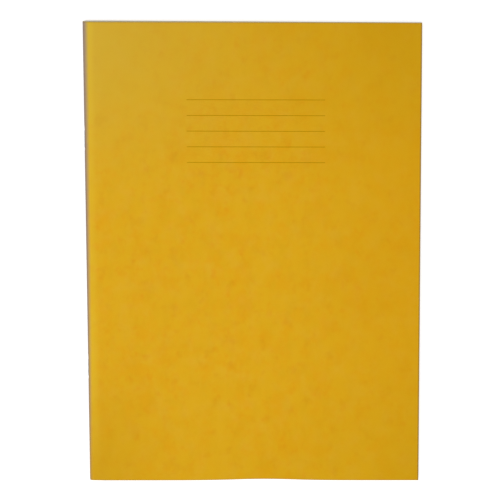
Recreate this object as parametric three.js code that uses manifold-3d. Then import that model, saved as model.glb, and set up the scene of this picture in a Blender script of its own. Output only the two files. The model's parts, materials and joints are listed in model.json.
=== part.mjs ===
import * as THREE from 'three';
import { mergeVertices } from 'three/addons/utils/BufferGeometryUtils.js';
import Module from 'manifold-3d';

const wasm = await Module();
wasm.setup();

// A stapled exercise book, A4, lying flat on its back cover.
// X runs across it with the spine at -X, Y runs up the page, Z is up.
// The origin is the middle of the whole book's footprint, on the surface it lies on.

// Driving sizes, in millimetres
const bookHeight = 297;
const bookWidth = 210;
const boardThickness = 0.45;
const sheetCount = 16;
const paperThickness = 0.1;
const sheetGap = 0.02;
const wireThickness = 0.5;
const crownLength = 12;
const clinchLength = 4.5;
const bendRadius = 0.3;
const stapleSpacing = 148;

// Clearances
const crownClearance = 0.02; // crown of a staple to the board behind it
const clinchClearance = 0.05; // clinched ends to the innermost fold
const legClearance = 0.1; // each side of a staple's leg in its holes
const turningClearance = 0.04; // the folded spine to the panels and leaves that turn round it

// How finely the round shapes are cut. An odd number of steps in a fold puts a flat
// behind the staples' crowns.
const foldSteps = 11;
const endSteps = 4;
const bendSteps = 3;

// Everything that folds is wrapped round one axis, halfway up the book.
const pitch = paperThickness + sheetGap;
const innermostRadius = wireThickness * Math.SQRT1_2 + clinchClearance;
const boardInnerRadius = innermostRadius + pitch * sheetCount;
const boardOuterRadius = boardInnerRadius + boardThickness;
const turningRadius = boardOuterRadius + turningClearance;
const flatFactor = Math.cos(Math.PI / (2 * foldSteps));
const crownInside = boardOuterRadius * flatFactor + crownClearance;
const crownOutside = crownInside + wireThickness;

// The outermost point of the folded board's flats is the page width's zero.
const foreEdge = bookWidth - boardOuterRadius * flatFactor;
const axisX = crownOutside - (crownOutside + foreEdge) / 2;
const axisZ = boardOuterRadius;

// The staples hold the two halves apart at the spine. At the fore-edge they close,
// so the book is a slim wedge: the front half is tipped by this much.
const closingAngle = Math.asin((2 * innermostRadius - sheetGap) / foreEdge);

// Finishes: glazed yellow pressboard, greyed where it is folded, writing paper and zinc wire
function boardMaterial() {
  return new THREE.MeshStandardMaterial({ color: 0xd5a51e, roughness: 0.42, metalness: 0 });
}

function foldMaterial() {
  return new THREE.MeshStandardMaterial({ color: 0xa08a62, roughness: 0.6, metalness: 0 });
}

function paperMaterial() {
  return new THREE.MeshStandardMaterial({ color: 0xf1eddd, roughness: 0.85, metalness: 0 });
}

function wireMaterial() {
  return new THREE.MeshStandardMaterial({ color: 0xb9bcc0, roughness: 0.35, metalness: 0.9 });
}

// Distance from the axis, along X, of a point at a given height on a circle round the axis
function reachAt(radius, height) {
  return Math.sqrt(radius * radius - height * height);
}

// Points of an arc round the axis, as [distance along +X, height]
function arcPoints(radius, startAngle, endAngle, steps) {
  const points = [];
  for (let step = 0; step <= steps; step += 1) {
    const angle = startAngle + ((endAngle - startAngle) * step) / steps;
    points.push(new THREE.Vector2(radius * Math.cos(angle), radius * Math.sin(angle)));
  }
  return points;
}

// A closed outline across the book, drawn round the axis, swept from tail to head
function sweepAlongSpine(points) {
  const shape = new THREE.Shape(points);
  const geometry = new THREE.ExtrudeGeometry(shape, { depth: bookHeight, bevelEnabled: false });
  geometry.rotateX(Math.PI / 2);
  geometry.translate(0, bookHeight / 2, 0);
  return geometry;
}

function toSolid(geometry) {
  const bare = geometry.clone();
  bare.deleteAttribute('normal');
  bare.deleteAttribute('uv');
  const merged = mergeVertices(bare, 1e-5);
  const vertProperties = new Float32Array(merged.attributes.position.array);
  const triVerts = new Uint32Array(merged.index.array);
  return new wasm.Manifold(new wasm.Mesh({ numProp: 3, vertProperties, triVerts }));
}

function toGeometry(solid) {
  const mesh = solid.getMesh();
  const geometry = new THREE.BufferGeometry();
  geometry.setAttribute('position', new THREE.BufferAttribute(new Float32Array(mesh.vertProperties), 3));
  geometry.setIndex(new THREE.BufferAttribute(new Uint32Array(mesh.triVerts), 1));
  return geometry;
}

const stapleCentres = [
  { name: 'staple_top', y: stapleSpacing / 2 },
  { name: 'staple_bottom', y: -stapleSpacing / 2 },
];

// Square holes for the staples' legs, through everything on the outer side of the axis
const legOffset = (crownLength - wireThickness) / 2;
const holeSize = wireThickness + 2 * legClearance;

function pierce(geometry) {
  let solid = toSolid(geometry);
  for (const staple of stapleCentres) {
    for (const side of [-1, 1]) {
      const hole = new THREE.BoxGeometry(crownOutside, holeSize, holeSize);
      hole.translate(-crownOutside / 2, staple.y + side * legOffset, 0);
      solid = solid.subtract(toSolid(hole));
    }
  }
  return toGeometry(solid);
}

// Three groups share the axis: what lies still, what folds, and what opens.
function makeHalf() {
  const half = new THREE.Group();
  half.position.set(axisX, 0, axisZ);
  return half;
}

const backHalf = makeHalf();
const spine = makeHalf();
const frontHalf = makeHalf();
frontHalf.rotation.y = closingAngle;

function addPiece(group, name, geometry, material) {
  const mesh = new THREE.Mesh(geometry, material);
  mesh.name = name;
  group.add(mesh);
}

// The folded spine of the cover board. Its short lips end on the turning circle.
function coverFold() {
  const lipAngle = Math.asin(boardInnerRadius / boardOuterRadius);
  const quarter = Math.PI / 2;
  const outline = [
    ...arcPoints(boardOuterRadius, lipAngle, quarter, endSteps),
    ...arcPoints(boardOuterRadius, quarter, 3 * quarter, foldSteps).slice(1),
    ...arcPoints(boardOuterRadius, 3 * quarter, 4 * quarter - lipAngle, endSteps).slice(1),
    ...arcPoints(boardInnerRadius, 3 * quarter, quarter, foldSteps),
  ];
  return pierce(sweepAlongSpine(outline));
}

// A flat cover panel. Its spine end is hollowed to clear the folded spine as it turns.
function coverPanel(side) {
  const startAngle = Math.asin(boardInnerRadius / turningRadius);
  const endAngle = Math.asin(boardOuterRadius / turningRadius);
  const hollow = arcPoints(turningRadius, startAngle, endAngle, endSteps);
  const outline = [
    new THREE.Vector2(foreEdge, boardOuterRadius),
    ...hollow.reverse(),
    new THREE.Vector2(foreEdge, boardInnerRadius),
  ];
  return sweepAlongSpine(outline.map((point) => new THREE.Vector2(point.x, side * point.y)));
}

// The fold of one sheet: half a ring with two short straight lips inside the turning circle
function sheetFold(innerRadius) {
  const outerRadius = innerRadius + paperThickness;
  const lip = reachAt(boardOuterRadius, outerRadius);
  const quarter = Math.PI / 2;
  const outline = [
    new THREE.Vector2(lip, innerRadius),
    new THREE.Vector2(lip, outerRadius),
    ...arcPoints(outerRadius, quarter, 3 * quarter, foldSteps),
    new THREE.Vector2(lip, -outerRadius),
    new THREE.Vector2(lip, -innerRadius),
    ...arcPoints(innerRadius, 3 * quarter, quarter, foldSteps),
  ];
  return pierce(sweepAlongSpine(outline));
}

// One leaf, from just outside the turning circle to the fore-edge
function leaf(innerRadius, side) {
  const start = reachAt(turningRadius, innerRadius);
  const geometry = new THREE.BoxGeometry(foreEdge - start, bookHeight, paperThickness);
  const height = side * (innerRadius + paperThickness / 2);
  geometry.translate((start + foreEdge) / 2, 0, height);
  return geometry;
}

// A staple, cut from flat wire: crown outside the spine, legs through it, ends clinched inwards
function stapleWire(centreY) {
  const half = crownLength / 2;
  const back = -crownOutside;
  const front = -crownInside;
  const clinchFront = wireThickness / 2;
  const clinchBack = -wireThickness / 2;
  const innerLeg = half - wireThickness;
  const outer = bendRadius;
  const shape = new THREE.Shape();
  shape.moveTo(back + outer, -half);
  shape.lineTo(clinchFront - outer, -half);
  shape.absarc(clinchFront - outer, -half + outer, outer, -Math.PI / 2, 0, false);
  shape.lineTo(clinchFront, -half + clinchLength);
  shape.lineTo(clinchBack, -half + clinchLength);
  shape.lineTo(clinchBack, -innerLeg);
  shape.lineTo(front, -innerLeg);
  shape.lineTo(front, innerLeg);
  shape.lineTo(clinchBack, innerLeg);
  shape.lineTo(clinchBack, half - clinchLength);
  shape.lineTo(clinchFront, half - clinchLength);
  shape.lineTo(clinchFront, half - outer);
  shape.absarc(clinchFront - outer, half - outer, outer, 0, Math.PI / 2, false);
  shape.lineTo(back + outer, half);
  shape.absarc(back + outer, half - outer, outer, Math.PI / 2, Math.PI, false);
  shape.lineTo(back, -half + outer);
  shape.absarc(back + outer, -half + outer, outer, Math.PI, 1.5 * Math.PI, false);
  const settings = { depth: wireThickness, bevelEnabled: false, curveSegments: bendSteps };
  const geometry = new THREE.ExtrudeGeometry(shape, settings);
  geometry.translate(0, centreY, -wireThickness / 2);
  return geometry;
}

addPiece(frontHalf, 'front_cover', coverPanel(1), boardMaterial());
addPiece(spine, 'cover_fold', coverFold(), foldMaterial());
addPiece(backHalf, 'back_cover', coverPanel(-1), boardMaterial());

// Sheet 1 lies against the cover, the last one holds the centre spread.
for (let sheet = 1; sheet <= sheetCount; sheet += 1) {
  const innerRadius = innermostRadius + pitch * (sheetCount - sheet);
  const name = `sheet_${String(sheet).padStart(2, '0')}`;
  addPiece(frontHalf, `${name}_front_leaf`, leaf(innerRadius, 1), paperMaterial());
  addPiece(spine, `${name}_fold`, sheetFold(innerRadius), paperMaterial());
  addPiece(backHalf, `${name}_back_leaf`, leaf(innerRadius, -1), paperMaterial());
}

for (const staple of stapleCentres) {
  addPiece(spine, staple.name, stapleWire(staple.y), wireMaterial());
}

const notebook = new THREE.Group();
notebook.add(backHalf, spine, frontHalf);

export default notebook;
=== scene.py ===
import json
import math
import random

import bpy
from mathutils import Matrix, Vector, noise


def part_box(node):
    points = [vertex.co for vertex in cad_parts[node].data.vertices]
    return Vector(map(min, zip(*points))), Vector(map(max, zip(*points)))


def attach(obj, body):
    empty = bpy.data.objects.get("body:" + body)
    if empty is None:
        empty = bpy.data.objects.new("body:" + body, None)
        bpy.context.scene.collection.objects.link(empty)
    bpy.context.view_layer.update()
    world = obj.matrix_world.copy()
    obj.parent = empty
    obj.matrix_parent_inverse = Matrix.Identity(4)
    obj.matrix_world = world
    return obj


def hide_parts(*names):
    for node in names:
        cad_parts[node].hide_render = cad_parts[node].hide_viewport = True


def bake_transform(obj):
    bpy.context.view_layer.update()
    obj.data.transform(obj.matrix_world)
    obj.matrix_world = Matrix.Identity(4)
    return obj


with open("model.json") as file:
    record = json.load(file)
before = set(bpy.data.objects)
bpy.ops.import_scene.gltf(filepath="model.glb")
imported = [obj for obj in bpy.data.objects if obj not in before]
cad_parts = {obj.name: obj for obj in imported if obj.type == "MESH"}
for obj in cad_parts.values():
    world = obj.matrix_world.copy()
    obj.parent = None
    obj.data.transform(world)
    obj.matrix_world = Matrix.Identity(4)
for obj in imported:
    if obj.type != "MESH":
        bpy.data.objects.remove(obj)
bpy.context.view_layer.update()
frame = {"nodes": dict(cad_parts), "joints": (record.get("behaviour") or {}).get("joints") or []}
mm = 0.001


# What the frame says about the book

hinge = next(joint for joint in frame["joints"] if joint["name"] == "cover_opening")
axisX, axisY, axisZ = hinge["pos_m"]
backLow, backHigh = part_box("back_cover")
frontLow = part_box("front_cover")[0]
foreEdge = backHigh.x - axisX
halfHeight = backHigh.y
boardThickness = backHigh.z - backLow.z
boardInner = axisZ - backHigh.z
sheetNumbers = [node[6:8] for node in sorted(frame["nodes"]) if node.endswith("_back_leaf")]
cadTip = (axisZ + boardInner - frontLow.z) / foreEdge
print("frame read:", len(sheetNumbers), "sheets, fore-edge", round(foreEdge / mm, 2), "mm from the fold")


# Shader maths

class Thread:  # one socket of a finish, so that expressions on it add Math nodes
    def __init__(self, finish, socket):
        self.finish = finish
        self.socket = socket

    def __add__(self, other):
        return self.finish.maths("ADD", self, other)

    __radd__ = __add__

    def __sub__(self, other):
        return self.finish.maths("SUBTRACT", self, other)

    def __rsub__(self, other):
        return self.finish.maths("SUBTRACT", other, self)

    def __mul__(self, other):
        return self.finish.maths("MULTIPLY", self, other)

    __rmul__ = __mul__

    def __truediv__(self, other):
        return self.finish.maths("DIVIDE", self, other)

    def __rtruediv__(self, other):
        return self.finish.maths("DIVIDE", other, self)


class Finish:
    def __init__(self, name, world=False):
        self.block = (bpy.data.worlds if world else bpy.data.materials).new(name)
        self.block.use_nodes = True
        self.tree = self.block.node_tree
        self.tree.nodes.clear()

    def node(self, kind, settings=None, sockets=None):
        made = self.tree.nodes.new("ShaderNode" + kind)
        for key, value in (settings or {}).items():
            setattr(made, key, value)
        for key, value in (sockets or {}).items():
            if isinstance(value, Thread):
                self.tree.links.new(value.socket, made.inputs[key])
            else:
                made.inputs[key].default_value = value
        return made

    def thread(self, made, output=0):
        return Thread(self, made.outputs[output])

    def maths(self, operation, first, second=0.0):
        return self.thread(self.node("Math", {"operation": operation}, {0: first, 1: second}))

    def mix(self, amount, first, second):
        sockets = {0: amount, 6: first, 7: second}  # the factor and the two colours
        return self.thread(self.node("Mix", {"data_type": "RGBA"}, sockets), 2)

    def rise(self, value, low, high, most=1.0):  # 0 below low, most above high, smooth between
        return self.smooth(value, low, high, 0.0, most)

    def fall(self, value, low, high, most=1.0):  # most below low, 0 above high, smooth between
        return self.smooth(value, low, high, most, 0.0)

    def smooth(self, value, low, high, first, last):
        sockets = {"Value": value, "From Min": low, "From Max": high, "To Min": first, "To Max": last}
        return self.thread(self.node("MapRange", {"interpolation_type": "SMOOTHSTEP"}, sockets))

    def chart(self, name):  # the piece's own flat chart, back in millimetres
        flat = self.thread(self.node("UVMap", {"uv_map": name}))
        sized = self.node("VectorMath", {"operation": "SCALE"}, {0: flat, "Scale": chartSpan / mm})
        return self.thread(sized)

    def parts(self, vector):
        made = self.node("SeparateXYZ", None, {0: vector})
        return self.thread(made, 0), self.thread(made, 1)

    # A flat cloud of noise. It is squeezed across and along, and shift moves it off the others.
    def cloud(self, vector, scale, detail, roughness, across=1.0, along=1.0, shift=0.0):
        moved = {"Vector": vector, "Scale": (across, along, 1.0), "Location": (shift, 0.7 * shift, 0.0)}
        place = self.thread(self.node("Mapping", None, moved))
        sockets = {"Vector": place, "Scale": scale, "Detail": detail, "Roughness": roughness}
        return self.thread(self.node("TexNoise", {"noise_dimensions": "2D"}, sockets))

    def bump(self, height, strength, distance):
        sockets = {"Height": height, "Strength": strength, "Distance": distance}
        return self.thread(self.node("Bump", None, sockets))

    def surface(self, sockets):
        shader = self.node("BsdfPrincipled", None, sockets)
        self.node("OutputMaterial", None, {"Surface": self.thread(shader)})
        return self.block


def tone(red, green, blue):  # a colour as a picture shows it, 0 to 255, made linear
    def straight(value):
        value /= 255
        return value / 12.92 if value <= 0.04045 else ((value + 0.055) / 1.055) ** 2.4

    return (straight(red), straight(green), straight(blue), 1.0)


# Folding: one rule for the cover and every sheet, so that they stay nested

fold = {
    "pinch": 0.15,  # share by which the book is slimmer right at the spine
    "pinchReach": 8.5 * mm,  # how far in from the fold that goes
    "tipShare": 0.93,  # how much of the solids' wedge shows
    "swell": 0.16 * mm,  # how far the cover dips and rises over its width
    "swellStart": 6 * mm,  # from the fold
    "swellWidth": 0.11,  # metres from wave to wave, across and up the cover
    "swellHeight": 0.13,
    "swellPlace": (7.3, 0.0, 0.4),  # where in the noise it is taken
    "headFront": 0.65 * mm,  # how far out of square the head is cut at the fore-edge, on top
    "headBack": 1.15 * mm,  # the same at the bottom
    "tailCut": 0.85 * mm,
    "tailDip": 0.95 * mm,  # how far the trimmed tail runs in, in a shallow wave
    "dipAt": 108.8 * mm,
    "dipReach": 27 * mm,
    "dent": 0.3 * mm,  # how deep the staples press into the fold
    "dentReach": 1.6 * mm,  # beyond the ends of the crown
    "dentHeight": 0.8 * mm,  # above and below the crown
    "rowsByStaples": (-1.6, -1.0, -0.5, 0.0, 0.6),  # extra rows, in mm from the ends of the crowns
    "blendReach": 0.9,  # share of the way to the first flat part, where a blend would be over; no blend is applied
}
tip = cadTip * fold["tipShare"]
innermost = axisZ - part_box(f"sheet_{sheetNumbers[-1]}_back_leaf")[1].z
stapleBoxes = [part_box(name) for name in ("staple_top", "staple_bottom")]


def ease(value):
    value = min(max(value, 0.0), 1.0)
    return value * value * (3 - 2 * value)


def swellAt(out, y):
    across, up, deep = fold["swellPlace"]
    point = Vector((out / fold["swellWidth"] + across, y / fold["swellHeight"] + up, deep))
    return 0.5 + 0.5 * noise.noise(point)


def dentAt(out, y, rise):
    if out > 0:
        return 0.0
    depth = 0.0
    for low, high in stapleBoxes:
        fromCrown = abs(y - (low.y + high.y) / 2) - (high.y - low.y) / 2
        depth = max(depth, 1 - ease(fromCrown / fold["dentReach"]))
    return fold["dent"] * depth * (out / axisZ) ** 2 * math.exp(-((rise / fold["dentHeight"]) ** 2))


# out is the distance from the axis towards the fore-edge, rise the height above the axis
def settle(out, y, rise):
    skew = fold["tailCut"]
    if y > 0:
        level = 0.5 + 0.5 * rise / axisZ
        skew = fold["headBack"] + (fold["headFront"] - fold["headBack"]) * level
    cut = skew * max(out, 0.0) / foreEdge
    if y < 0:
        cut += fold["tailDip"] * math.exp(-(((out - fold["dipAt"]) / fold["dipReach"]) ** 2))
    y *= 1 - cut / halfHeight
    nearSpine = 1 - ease(out / fold["pinchReach"]) if out > 0 else 1.0
    z = rise * (1 - fold["pinch"] * nearSpine)
    if rise > 0 and out > 0:
        z -= out * tip
        share = ease((rise - innermost) / (axisZ - innermost)) * ease(out / fold["swellStart"])
        z -= fold["swell"] * share * swellAt(out, y)
    return Vector((axisX + out + dentAt(out, y, rise), y, axisZ + z))


def spread(half, steps):
    return [half * (2 * step / steps - 1) for step in range(steps + 1)]


# Rows up the page, closer together round the staples
def pageRows(steps):
    rows = set(spread(halfHeight, steps))
    for low, high in stapleBoxes:
        rows |= {edge + shift * mm for edge in (low.y, high.y) for shift in fold["rowsByStaples"]}
    return sorted(rows)


# along is the way round the piece from the middle of its fold, positive on the front.
# depth is the distance outwards from the middle of its thickness.
def wrap(along, y, depth, middle):
    quarter = math.pi / 2 * middle
    if abs(along) > quarter:
        return settle(abs(along) - quarter, y, math.copysign(middle + depth, along))
    turn = math.pi - along / middle
    return settle((middle + depth) * math.cos(turn), y, (middle + depth) * math.sin(turn))


# Columns from the back fore-edge round the fold to the front one, closer together near the fold
def stations(reach, middle, foldSteps, panelSteps, crowding):
    quarter = math.pi / 2 * middle
    shares = [(step / panelSteps) ** crowding for step in range(1, panelSteps + 1)]
    panel = [quarter + (reach - quarter) * share for share in shares]
    return [-place for place in reversed(panel)] + spread(quarter, foldSteps) + panel


chartSpan = 0.64  # metres across the unit square of every chart
chartColumn = 0.5  # where the middle of the piece lies in it
outsideRow, insideRow = 0.25, 0.75
creaseAngle = math.radians(28)  # faces that meet at more than this don't share their shading


# A closed thin slab with softened edges. The faces outside and inside get materials 0 and 1, and the
# cut edge gets 2.
def slab(name, chart, columns, rows, half, soften, place):
    verts, uvs, faces, kinds = [], [], [], []
    lastColumn, lastRow = len(columns) - 1, len(rows) - 1

    def inset(value, last, values, amount):
        if value == 0:
            return values[0] + amount
        return values[last] - amount if value == last else values[value]

    def vertex(column, row, depth, amount, side):
        along = inset(column, lastColumn, columns, amount)
        y = inset(row, lastRow, rows, amount)
        verts.append(place(along, y, depth))
        chartRow = outsideRow if side > 0 else insideRow
        uvs.append((chartColumn + along / chartSpan, chartRow + y / chartSpan))
        return len(verts) - 1

    def strip(column, side):
        return [vertex(column, row, side * half, soften, side) for row in range(lastRow + 1)]

    outer = [strip(column, 1) for column in range(lastColumn + 1)]
    inner = [strip(column, -1) for column in range(lastColumn + 1)]
    for i in range(lastColumn):
        for j in range(lastRow):
            faces.append((outer[i][j], outer[i][j + 1], outer[i + 1][j + 1], outer[i + 1][j]))
            kinds.append(0)
            faces.append((inner[i][j], inner[i + 1][j], inner[i + 1][j + 1], inner[i][j + 1]))
            kinds.append(1)
    border = [(i, 0) for i in range(lastColumn)] + [(lastColumn, j) for j in range(lastRow)]
    border += [(i, lastRow) for i in range(lastColumn, 0, -1)] + [(0, j) for j in range(lastRow, 0, -1)]
    rings = [[outer[i][j] for i, j in border]]
    for depth in (half - soften, soften - half):
        rings.append([vertex(i, j, depth, 0.0, 1 if depth > 0 else -1) for i, j in border])
    rings.append([inner[i][j] for i, j in border])
    for upper, lower in zip(rings, rings[1:]):
        for k in range(len(border)):
            after = (k + 1) % len(border)
            faces.append((upper[k], upper[after], lower[after], lower[k]))
            kinds.append(2)

    mesh = bpy.data.meshes.new(name)
    mesh.from_pydata([tuple(v) for v in verts], [], faces)
    layer = mesh.uv_layers.new(name=chart)
    for loop in mesh.loops:
        layer.data[loop.index].uv = uvs[loop.vertex_index]
    mesh.polygons.foreach_set("material_index", kinds)
    mesh.shade_smooth()
    mesh.set_sharp_from_angle(angle=creaseAngle)
    mesh.update()
    return linked(name, mesh)


def linked(name, data):
    made = bpy.data.objects.new(name, data)
    bpy.context.scene.collection.objects.link(made)
    return made


# Works out a plane midway between the two halves of the closed book and how far the first flat part
# of either half lies from it, but blends nothing: it only bakes the piece's placement into its mesh.
def blendAcross(piece):
    half = math.atan(tip / 2)
    square = Vector((math.sin(half), 0, math.cos(half)))
    middle = Vector((0, axisY, axisZ + axisX * math.tan(half)))  # at X 0, where numbers are finest
    beyondFold = [vertex.co - middle for vertex in piece.data.vertices if vertex.co.x > axisX]
    reach = fold["blendReach"] * min(abs(place.dot(square)) for place in beyondFold)
    middle + square * reach
    middle - square * reach
    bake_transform(piece)


# Cover

cover = {
    "foldSteps": 28,
    "panelSteps": 64,
    "crowding": 1.25,
    "rows": 96,
    "soften": 0.07 * mm,
    "yellow": tone(222, 170, 20),
    "orange": tone(225, 156, 2),
    "deep": tone(196, 148, 3),
    # a pale tone for a painted sheen of reflected light near the spine, and partly a real fade
    "faded": tone(210, 184, 68),
    "clot": tone(222, 138, 2),
    "fleck": tone(207, 131, 2),
    "bleached": tone(226, 178, 66),
    # the tone of a painted highlight along the bend
    "burnished": tone(230, 199, 50),
    # grey of the bare board, darkened with painted shade of the fold
    "bare": tone(150, 133, 122),
    # the tone of painted shade along the cut edges
    "soiled": tone(140, 112, 52),
    "inside": tone(208, 166, 66),
    "core": tone(170, 132, 58),
    "clouds": {  # scale per mm, detail, roughness, squeeze across and up the page, shift
        "broad": (0.022, 2.0, 0.5, 1.0, 0.8, 31.0),
        "mottle": (0.08, 3.5, 0.6, 1.0, 0.92),
        "speckle": (0.34, 2.0, 0.5, 1.0, 0.92, 53.0),
        "clots": (0.12, 2.0, 0.55, 1.0, 0.92, 11.0),
        "flecks": (0.11, 2.5, 0.5, 1.0, 0.85, 137.0),
        "thin": (0.09, 4.0, 0.62, 1.0, 0.95, 71.0),
        "uneven": (0.11, 4.0, 0.6, 1.0, 0.7, 89.0),
        "nibble": (0.5, 4.0, 0.65, 2.2, 0.5, 3.0),
        "fibre": (2.6, 4.0, 0.6, 1.0, 0.6, 17.0),
        "grain": (0.7, 3.0, 0.5, 1.0, 1.0, 23.0),
        "insideCloud": (0.21, 3.0, 0.55, 1.0, 0.7),
        "insideFibre": (1.9, 4.0, 0.62, 1.0, 0.5, 9.0),
        "ply": (1.1, 4.0, 0.65, 1.0, 1.0, 2.0),
    },
    "bands": {  # where a layer starts to change and where it is done, and how much of it shows at most
        "orange": (0.38, 0.72, 0.5),  # these go by the noise
        "clots": (0.58, 0.92, 0.36),
        "flecks": (0.56, 0.86, 0.26),
        "thin": (0.4, 0.8, 0.19),
        "uneven": (0.35, 0.85, 0.17),
        "insideCloud": (0.4, 0.8, 0.4),
        "insideFibre": (0.5, 0.85, 0.22),
        "ply": (0.3, 0.75, 0.6),
        "foreEdge": (100.0, 230.0, 0.36),  # and these by the distance in mm
        "head": (25.0, 160.0, 0.35),
        "tail": (60.0, 165.0, 0.18),
        "tailCorner": (45.0, 150.0, 0.4),
        "besideCorner": (0.0, 60.0),
        "thumbed": (120.0, 215.0, 0.2),
        "besideThumb": (50.0, 125.0),
        "fadedHead": (15.0, 150.0, 0.5),
        "bend": (1.4, 3.2),
        "pastBend": (4.5, 9.5),
        "bendLost": (80.0, 140.0, 0.22),
        "rubbed": (-1.5, 2.0),
        "rubbedLost": (95.0, 140.0, 0.4),
        "soiledFore": (0.15, 1.3, 0.85),
        "soiledEnds": (0.1, 1.1, 0.25),
    },
    "speckled": 0.24,  # share of fine speckle in the mottling
    "mottlePatches": 0.22,  # how much the broad clouds change the mottling, the clots and the painted shade towards the edges
    "clotPatches": 0.2,
    "handledPatches": 0.5,
    "handledLeast": 0.75,
    "fadedReach": 190.0,  # mm from the fold
    "fadedLeast": 0.03,
    "bendShare": 0.32,
    "rubbedShare": 0.95,
    "rubbedWidth": 2.6,  # mm from the fold to the middle of the ragged edge, halfway up the page
    "rubbedLean": 0.0056,  # how much wider that gets with every mm up the page
    "rubbedRagged": 0.9,
    "soiledRagged": 0.5,
    "fibreTint": 0.08,
    "meanTint": 0.03,
    "roughness": 0.42,
    "grainRoughness": 0.1,
    "rubbedRoughness": 0.25,
    "glint": 0.05,
    "relief": (0.35, 0.02 * mm),  # strength and height of the bump
    "insideRoughness": 0.78,
    "insideFibreRoughness": 0.12,
    "insideGlint": 0.2,
    "insideRelief": (0.4, 0.03 * mm),
    "cutRoughness": 0.85,
    "cutGlint": 0.15,
    "cutRelief": (0.5, 0.04 * mm),
}


def glazedBoard():
    board = Finish("glazed_yellow_board")
    chart = board.chart("board")
    across, up = board.parts(chart)
    y = up - outsideRow * chartSpan / mm
    down = 0.0 - y
    out = board.maths("ABSOLUTE", across - chartColumn * chartSpan / mm)
    fromMiddle = board.maths("ABSOLUTE", y)

    def cloud(name):
        return board.cloud(chart, *cover["clouds"][name])

    def grow(name, value):
        return board.rise(value, *cover["bands"][name])

    def fade(name, value):
        return board.fall(value, *cover["bands"][name])

    # soft orange mottling, stronger in some places
    broad, speckle = cloud("broad"), cloud("speckle")
    mottle = cloud("mottle") * (1 - cover["speckled"]) + speckle * cover["speckled"]
    mottle = mottle + (broad - 0.5) * cover["mottlePatches"]
    colour = board.mix(grow("orange", mottle), cover["yellow"], cover["orange"])

    # denser clots of dyed fibre, and a few browner flecks
    clots = cloud("clots") + (speckle + broad - 1) * cover["clotPatches"]
    colour = board.mix(grow("clots", clots), colour, cover["clot"])
    colour = board.mix(grow("flecks", cloud("flecks")), colour, cover["fleck"])

    # paler patches where the glaze is thin, and a faint unevenness of the board under it
    colour = board.mix(grow("thin", cloud("thin")), colour, cover["bleached"])
    colour = board.mix(grow("uneven", cloud("uneven")), colour, cover["deep"])

    # painted shade: darker towards the head, the tail and the fore-edge, where the light falls off
    falloffShade = grow("foreEdge", out) + grow("head", y) + grow("tail", down)
    falloffShade = falloffShade + grow("tailCorner", down) * fade("besideCorner", out)
    patchy = cover["handledLeast"] + broad * cover["handledPatches"]
    colour = board.mix(falloffShade * patchy, colour, cover["deep"])

    # warmer halfway up the fore-edge, where the thumb goes
    thumbed = grow("thumbed", out) * fade("besideThumb", fromMiddle)
    colour = board.mix(thumbed, colour, cover["orange"])

    # paler towards the spine, most of all at the head: partly a painted sheen of reflected light, partly
    # a real fade
    nearSpine = board.maths("MAXIMUM", 1 - out / cover["fadedReach"], 0.0)
    faded = nearSpine * nearSpine * (cover["fadedLeast"] + grow("fadedHead", y))
    colour = board.mix(faded, colour, cover["faded"])

    # a painted highlight where the cover starts to bend and turns towards the light
    bent = grow("bend", out) * fade("pastBend", out)
    highlight = bent * (cover["bendShare"] - grow("bendLost", down))
    colour = board.mix(highlight, colour, cover["burnished"])

    # grey round the fold, wider at the head and less at the tail: partly the bare board rubbed through,
    # partly painted shade where the fold turns away from the light
    nibble = cloud("nibble")
    edge = cover["rubbedWidth"] + y * cover["rubbedLean"] + (nibble - 0.5) * cover["rubbedRagged"]
    rubbed = fade("rubbed", out - edge)
    bare = rubbed * (cover["rubbedShare"] - grow("rubbedLost", down))
    colour = board.mix(bare, colour, cover["bare"])

    # a line of painted shade along the cut edges, where the rim turns away from the light
    reach = (foreEdge + math.pi / 2 * (boardInner + boardThickness / 2)) / mm
    ragged = (nibble - 0.5) * cover["soiledRagged"]
    soiledFore = fade("soiledFore", reach - out + ragged)
    soiledEnds = fade("soiledEnds", halfHeight / mm - fromMiddle + ragged)
    soiled = board.maths("MAXIMUM", soiledFore, soiledEnds)
    colour = board.mix(soiled, colour, cover["soiled"])

    # the fibres and the grain of the glaze
    fibre, grain = cloud("fibre"), cloud("grain")
    tint = (fibre - 0.5) * cover["fibreTint"] + cover["meanTint"]
    roughness = cover["roughness"] + (grain - 0.5) * cover["grainRoughness"]
    return board.surface({
        "Base Color": board.mix(tint, colour, cover["clot"]),
        "Roughness": roughness + rubbed * cover["rubbedRoughness"],
        "Specular IOR Level": cover["glint"],
        "Normal": board.bump((fibre + grain) / 2, *cover["relief"]),
    })


def plainBoard():  # the cover's inner side isn't glazed
    board = Finish("plain_board_inside")
    chart = board.chart("board")
    cloud = board.cloud(chart, *cover["clouds"]["insideCloud"])
    fibre = board.cloud(chart, *cover["clouds"]["insideFibre"])
    warm = board.rise(cloud, *cover["bands"]["insideCloud"])
    dark = board.rise(fibre, *cover["bands"]["insideFibre"])
    colour = board.mix(warm, cover["inside"], cover["orange"])
    return board.surface({
        "Base Color": board.mix(dark, colour, cover["core"]),
        "Roughness": cover["insideRoughness"] + (fibre - 0.5) * cover["insideFibreRoughness"],
        "Specular IOR Level": cover["insideGlint"],
        "Normal": board.bump(fibre, *cover["insideRelief"]),
    })


def cutBoard():
    board = Finish("cut_board_edge")
    ply = board.cloud(board.chart("board"), *cover["clouds"]["ply"])
    light = board.rise(ply, *cover["bands"]["ply"])
    return board.surface({
        "Base Color": board.mix(light, cover["core"], cover["inside"]),
        "Roughness": cover["cutRoughness"],
        "Specular IOR Level": cover["cutGlint"],
        "Normal": board.bump(ply, *cover["cutRelief"]),
    })


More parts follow.
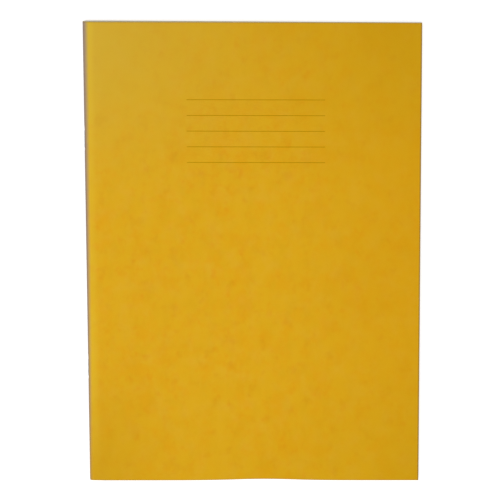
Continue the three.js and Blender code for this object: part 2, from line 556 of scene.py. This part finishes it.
def makeCover():
    middle = boardInner + boardThickness / 2
    reach = foreEdge + math.pi / 2 * middle
    columns = stations(reach, middle, cover["foldSteps"], cover["panelSteps"], cover["crowding"])
    rows = pageRows(cover["rows"])

    def place(along, y, depth):
        return wrap(along, y, depth, middle)

    piece = slab("cover", "board", columns, rows, boardThickness / 2, cover["soften"], place)
    for finish in (glazedBoard(), plainBoard(), cutBoard()):
        piece.data.materials.append(finish)
    blendAcross(piece)
    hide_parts("front_cover", "cover_fold", "back_cover")
    print("cover made:", len(piece.data.polygons), "faces")


makeCover()


# Sheets

sheets = {
    "foldSteps": 18,
    "panelSteps": 26,
    "crowding": 1.5,
    "rows": 24,
    "thickness": 0.94,  # of the room that the solids give a sheet
    "soften": 0.015 * mm,
    "trim": 0.22 * mm,  # how unevenly the edges are cut, at most
    "leastTrim": 0.1,  # and at least, as a share of that
    "trimWaver": 0.35,
    "trimPower": 8,  # the trim fades away from the edge with this power
    "waveScale": 25,
    "waveRange": 20,
    "seed": 41,
    "white": tone(240, 236, 221),
    "cream": tone(230, 222, 198),
    # the page edges' tones are tinted yellow with a painted bounce of light off the cover
    "cut": tone(247, 236, 196),
    "cutShade": tone(230, 216, 168),
    "line": tone(150, 168, 190),
    "linePitch": 8.0,  # the printed lines, in mm
    "lineWidth": 0.3,
    "lineEdge": (0.35, 0.75),  # where a line starts to fade and where it ends, as shares of its width
    "lineShare": 0.55,
    "headRoom": 22.0,
    "tailRoom": 8.0,
    "clouds": {  # scale per mm, detail, roughness, squeeze across and up the page
        "broad": (0.06, 3.0, 0.5),
        "fibre": (1.6, 4.0, 0.6, 1.0, 0.7),
        "cutFibre": (0.9, 3.0, 0.6),
    },
    "bands": {  # as the cover's
        "broad": (0.35, 0.75, 0.35),
        "fibre": (0.55, 0.9, 0.16),
        "cutFibre": (0.35, 0.75, 0.6),
    },
    "roughness": 0.86,
    "fibreRoughness": 0.1,
    "glint": 0.2,
    "relief": (0.25, 0.02 * mm),
    "cutRoughness": 0.92,
    "cutGlint": 0.1,
}


def writingPaper():
    paper = Finish("writing_paper")
    chart = paper.chart("page")
    up = paper.parts(chart)[1]
    clouds, bands = sheets["clouds"], sheets["bands"]
    broad = paper.cloud(chart, *clouds["broad"])
    fibre = paper.cloud(chart, *clouds["fibre"])
    colour = paper.mix(paper.rise(broad, *bands["broad"]), sheets["white"], sheets["cream"])
    colour = paper.mix(paper.rise(fibre, *bands["fibre"]), colour, sheets["cream"])

    # both faces lie on one chart, half of it apart, so their lines are counted from either middle
    page = (insideRow - outsideRow) * chartSpan / mm
    y = paper.thread(paper.node("Math", {"operation": "WRAP"}, {0: up, 1: page, 2: 0.0})) - page / 2
    nearest = paper.maths("PINGPONG", y, sheets["linePitch"] / 2)
    start, end = [share * sheets["lineWidth"] for share in sheets["lineEdge"]]
    line = paper.fall(nearest, start, end, sheets["lineShare"])
    belowHead = paper.maths("LESS_THAN", y, halfHeight / mm - sheets["headRoom"])
    aboveTail = paper.maths("GREATER_THAN", y, sheets["tailRoom"] - halfHeight / mm)
    colour = paper.mix(line * belowHead * aboveTail, colour, sheets["line"])
    return paper.surface({
        "Base Color": colour,
        "Roughness": sheets["roughness"] + (fibre - 0.5) * sheets["fibreRoughness"],
        "Specular IOR Level": sheets["glint"],
        "Normal": paper.bump(fibre, *sheets["relief"]),
    })


def cutPaper():
    paper = Finish("cut_paper_edge")
    fibre = paper.cloud(paper.chart("page"), *sheets["clouds"]["cutFibre"])
    shade = paper.rise(fibre, *sheets["bands"]["cutFibre"])
    return paper.surface({
        "Base Color": paper.mix(shade, sheets["cut"], sheets["cutShade"]),
        "Roughness": sheets["cutRoughness"],
        "Specular IOR Level": sheets["cutGlint"],
    })


def makeSheets():
    page, edge = writingPaper(), cutPaper()
    dice = random.Random(sheets["seed"])
    for number in sheetNumbers:
        low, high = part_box(f"sheet_{number}_back_leaf")
        middle = axisZ - (low.z + high.z) / 2
        half = (high.z - low.z) * sheets["thickness"] / 2
        reach = foreEdge + math.pi / 2 * middle
        columns = stations(reach, middle, sheets["foldSteps"], sheets["panelSteps"], sheets["crowding"])
        rows = spread(halfHeight, sheets["rows"])
        cuts = [dice.uniform(sheets["leastTrim"], 1.0) * sheets["trim"] for side in range(4)]
        wave = dice.uniform(0, sheets["waveRange"])

        def place(along, y, depth, middle=middle, reach=reach, cuts=cuts, wave=wave):
            scale, power = sheets["waveScale"], sheets["trimPower"]
            waver = 1 + sheets["trimWaver"] * noise.noise(Vector((along * scale, y * scale, wave)))
            out = abs(along) / reach
            along -= math.copysign(cuts[0 if along < 0 else 1] * out ** power * waver, along)
            y -= (cuts[2] if y > 0 else -cuts[3]) * (abs(y) / halfHeight) ** power * waver
            return wrap(along, y, depth, middle)

        piece = slab(f"sheet_{number}", "page", columns, rows, half, sheets["soften"], place)
        for finish in (page, page, edge):
            piece.data.materials.append(finish)
        blendAcross(piece)
        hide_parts(*[f"sheet_{number}_{part}" for part in ("front_leaf", "fold", "back_leaf")])
    print("sheets made:", len(sheetNumbers))


makeSheets()


# Staples

staples = {
    "names": ("staple_top", "staple_bottom"),
    "sides": 14,
    "bend": 0.75 * mm,  # radius of the wire's corners, at the middle of the wire
    "bendSteps": 7,
    "endGap": 3.4 * mm,  # between the two clinched ends
    "endWidth": 0.55,  # the chisel-cut ends are narrower than the wire
    "endLength": 0.35,
    "crease": math.radians(50),
    "zinc": tone(188, 191, 195),
    "dull": tone(150, 152, 154),
    "drawn": (1.0, 4.0, 0.6, 900.0, 120.0),  # scale, detail, roughness, squeeze across and along, shift
    "spots": (1.0, 2.0, 0.5, 400.0, 400.0, 6.0),
    "spotted": (0.45, 0.75, 0.7),  # as the cover's bands
    "roughness": 0.3,
    "spotRoughness": 0.22,
    "relief": (0.3, 0.01 * mm),
}


def zincWire():
    wire = Finish("zinc_wire")
    place = wire.thread(wire.node("TexCoord"), 3)  # its own coordinates, in metres
    drawn = wire.cloud(place, *staples["drawn"])
    spots = wire.cloud(place, *staples["spots"])
    dull = wire.rise(spots, *staples["spotted"])
    return wire.surface({
        "Base Color": wire.mix(dull, staples["zinc"], staples["dull"]),
        "Metallic": 1.0,
        "Roughness": staples["roughness"] + spots * staples["spotRoughness"],
        "Normal": wire.bump(drawn, *staples["relief"]),
    })


# Points along the middle of the wire, from the tip of one clinched end to the other
def wirePath(low, high):
    thick = high.z - low.z
    centreZ = (low.z + high.z) / 2
    crown, leg = low.x + thick / 2 + fold["dent"], high.x - thick / 2
    halfWidth = (high.y - low.y) / 2 - thick / 2
    centreY = (low.y + high.y) / 2
    endY = staples["endGap"] / 2
    corners = [(leg, -endY), (leg, -halfWidth), (crown, -halfWidth)]
    corners += [(x, -y) for x, y in reversed(corners)]
    corners = [Vector((x, y, 0)) for x, y in corners]
    points = [corners[0]]
    for before, here, after in zip(corners, corners[1:], corners[2:]):
        inward = (before - here).normalized()
        onward = (after - here).normalized()
        centre = here + (inward + onward) * staples["bend"]
        for step in range(staples["bendSteps"] + 1):
            turn = math.pi / 2 * step / staples["bendSteps"]
            points.append(centre - (onward * math.cos(turn) + inward * math.sin(turn)) * staples["bend"])
    points.append(corners[-1])
    return [Vector((p.x, p.y + centreY, centreZ)) for p in points], thick / 2


def makeStaples():
    finish = zincWire()
    sides = staples["sides"]
    up = Vector((0, 0, 1))
    for name in staples["names"]:
        points, radius = wirePath(*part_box(name))
        verts, faces = [], []
        # one narrow ring at each tip, and a full one at every point
        last = len(points) - 1
        narrow = staples["endWidth"]
        rings = [(0, narrow), *[(index, 1.0) for index in range(last + 1)], (last, narrow)]
        for index, width in rings:
            ahead = (points[min(index + 1, last)] - points[max(index - 1, 0)]).normalized()
            side = ahead.cross(up)
            for k in range(sides):
                turn = 2 * math.pi * k / sides
                spoke = side * math.cos(turn) + up * math.sin(turn)
                verts.append(points[index] + spoke * radius * width)
        firstTip = (points[0] - points[1]).normalized() * radius * staples["endLength"]
        lastTip = (points[-1] - points[-2]).normalized() * radius * staples["endLength"]
        for k in range(sides):
            verts[k] = verts[k] + firstTip
            verts[-1 - k] = verts[-1 - k] + lastTip
        for ring in range(len(rings) - 1):
            for k in range(sides):
                after = (k + 1) % sides
                first, second = ring * sides, (ring + 1) * sides
                faces.append((first + k, first + after, second + after, second + k))
        faces.append(tuple(range(sides - 1, -1, -1)))
        faces.append(tuple(range((len(rings) - 1) * sides, len(rings) * sides)))
        mesh = bpy.data.meshes.new(name + "_wire")
        mesh.from_pydata([tuple(v) for v in verts], [], faces)
        mesh.shade_smooth()
        mesh.set_sharp_from_angle(angle=staples["crease"])
        mesh.materials.append(finish)
        piece = linked(name + "_wire", mesh)
        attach(piece, "spine")
        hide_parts(name)
    print("staples made:", len(staples["names"]))


makeStaples()


# Printed rules

rules = {
    "count": 5,
    "pitch": 9.98 * mm,
    "length": 86.15 * mm,
    "width": 0.42 * mm,
    "left": 61.3 * mm,  # from the fold's axis
    "top": 99.77 * mm,  # above the middle of the cover
    "rise": 0.012 * mm,
    "sunk": 0.5,  # share of the rise that is buried in the board
    "steps": 60,
    "ink": tone(177, 135, 1),
    "skips": (1.0, 3.0, 0.6, 900.0, 2600.0),  # scale, detail, roughness, squeeze across and up
    "skipped": (0.45, 0.8, 0.35),  # as the cover's bands
    "roughness": 0.5,
    "glint": 0.0,
}


def ruleInk():
    ink = Finish("rule_ink")
    place = ink.thread(ink.node("TexCoord"), 3)  # its own coordinates, in metres
    skipped = ink.rise(ink.cloud(place, *rules["skips"]), *rules["skipped"])
    return ink.surface({
        "Base Color": ink.mix(skipped, rules["ink"], cover["orange"]),
        "Roughness": rules["roughness"],
        "Specular IOR Level": rules["glint"],
    })


def makeRules():
    verts, faces = [], []
    surface = boardInner + boardThickness
    half = rules["width"] / 2
    sunk = -rules["sunk"]
    for number in range(rules["count"]):
        y = rules["top"] - number * rules["pitch"]
        start = len(verts)
        for step in range(rules["steps"] + 1):
            out = rules["left"] + rules["length"] * step / rules["steps"]
            for lift, side in ((sunk, -1), (1, -1), (1, 1), (sunk, 1)):
                point = settle(out, y + side * half, surface)
                verts.append(point + Vector((0, 0, lift * rules["rise"])))
        last = start + 4 * rules["steps"]
        for ring in range(start, last, 4):
            for k in range(4):
                after = (k + 1) % 4
                faces.append((ring + k, ring + after, ring + 4 + after, ring + 4 + k))
        faces.append((start + 3, start + 2, start + 1, start))
        faces.append((last, last + 1, last + 2, last + 3))
    mesh = bpy.data.meshes.new("cover_rules")
    mesh.from_pydata([tuple(v) for v in verts], [], faces)
    mesh.materials.append(ruleInk())
    piece = linked("cover_rules", mesh)
    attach(piece, "front_cover")
    print("rules printed:", rules["count"])


makeRules()


# Studio

studio = {
    "floorColour": tone(218, 218, 218),
    "floorRoughness": 0.95,
    "floorLift": 0.58,
    "floorDrop": 0.02 * mm,  # keeps the floor clear of the back cover's own plane
    "floorSize": 6.0,
    "dayStrength": 0.52,
    "keyPlace": (-0.95, -0.45, 1.75),
    "keySize": 1.4,
    "keyPower": 16.5,
    "fillPlace": (0.9, -0.2, 2.1),
    "fillSize": 1.6,
    "fillPower": 9.0,
}


def seenDirectly(finish):  # 1 for rays that show the background itself
    path = finish.node("LightPath")
    camera, glossy, through = [
        finish.thread(path, name) for name in ("Is Camera Ray", "Is Glossy Ray", "Is Transmission Ray")
    ]
    return finish.maths("MAXIMUM", finish.maths("MAXIMUM", camera, glossy), through)


def makeFloor():
    finish = Finish("studio_floor")
    lift = studio["floorLift"]
    glow = finish.mix(seenDirectly(finish), (0, 0, 0, 1), (lift, lift, lift, 1))
    block = finish.surface({
        "Base Color": studio["floorColour"],
        "Roughness": studio["floorRoughness"],
        "Specular IOR Level": 0.0,
        "Emission Color": glow,
        "Emission Strength": 1.0,
    })
    mesh = bpy.data.meshes.new("floor")
    size, level = studio["floorSize"], -studio["floorDrop"]
    corners = [(-size, -size, level), (size, -size, level), (size, size, level), (-size, size, level)]
    mesh.from_pydata(corners, [], [(0, 1, 2, 3)])
    mesh.materials.append(block)
    floor = linked("floor", mesh)


def makeDaylight():
    sky = Finish("studio_daylight", world=True)
    dim = sky.node("Background", None, {"Color": (1, 1, 1, 1), "Strength": studio["dayStrength"]})
    white = sky.node("Background", None, {"Color": (1, 1, 1, 1), "Strength": 1.0})
    both = sky.node("MixShader", None, {0: seenDirectly(sky), 1: sky.thread(dim), 2: sky.thread(white)})
    sky.node("OutputWorld", None, {"Surface": sky.thread(both)})
    bpy.context.scene.world = sky.block


def makeLamp(name, place, size, power):
    lamp = bpy.data.lights.new(name, "AREA")
    lamp.size = size
    lamp.energy = power
    stand = linked(name, lamp)
    stand.location = place
    stand.rotation_mode = "QUATERNION"
    stand.rotation_quaternion = (-Vector(place)).to_track_quat("-Z", "Y")


makeFloor()
makeDaylight()
makeLamp("key_lamp", studio["keyPlace"], studio["keySize"], studio["keyPower"])
makeLamp("fill_lamp", studio["fillPlace"], studio["fillSize"], studio["fillPower"])
print("studio lit")


# Camera

view = {
    "place": (0.0547, 0.4908, 1.9889),
    "tilt": (-13.8003, 1.5791, 0.1416),  # about X, then its own Y, then its own Z, in degrees
    "lens": 234.29,
    "sensor": 36.0,
    "farthest": 20.0,
}


def makeCamera():
    data = bpy.data.cameras.new("camera")
    data.lens = view["lens"]
    data.sensor_width = view["sensor"]
    data.clip_end = view["farthest"]
    turn = Matrix.Identity(4)
    for axis, angle in zip("XYZ", view["tilt"]):
        turn = turn @ Matrix.Rotation(math.radians(angle), 4, axis)
    camera = linked("camera", data)
    camera.matrix_world = Matrix.Translation(view["place"]) @ turn
    bpy.context.scene.camera = camera
    print("camera set")


makeCamera()
bpy.context.scene.view_settings.view_transform = "Standard"
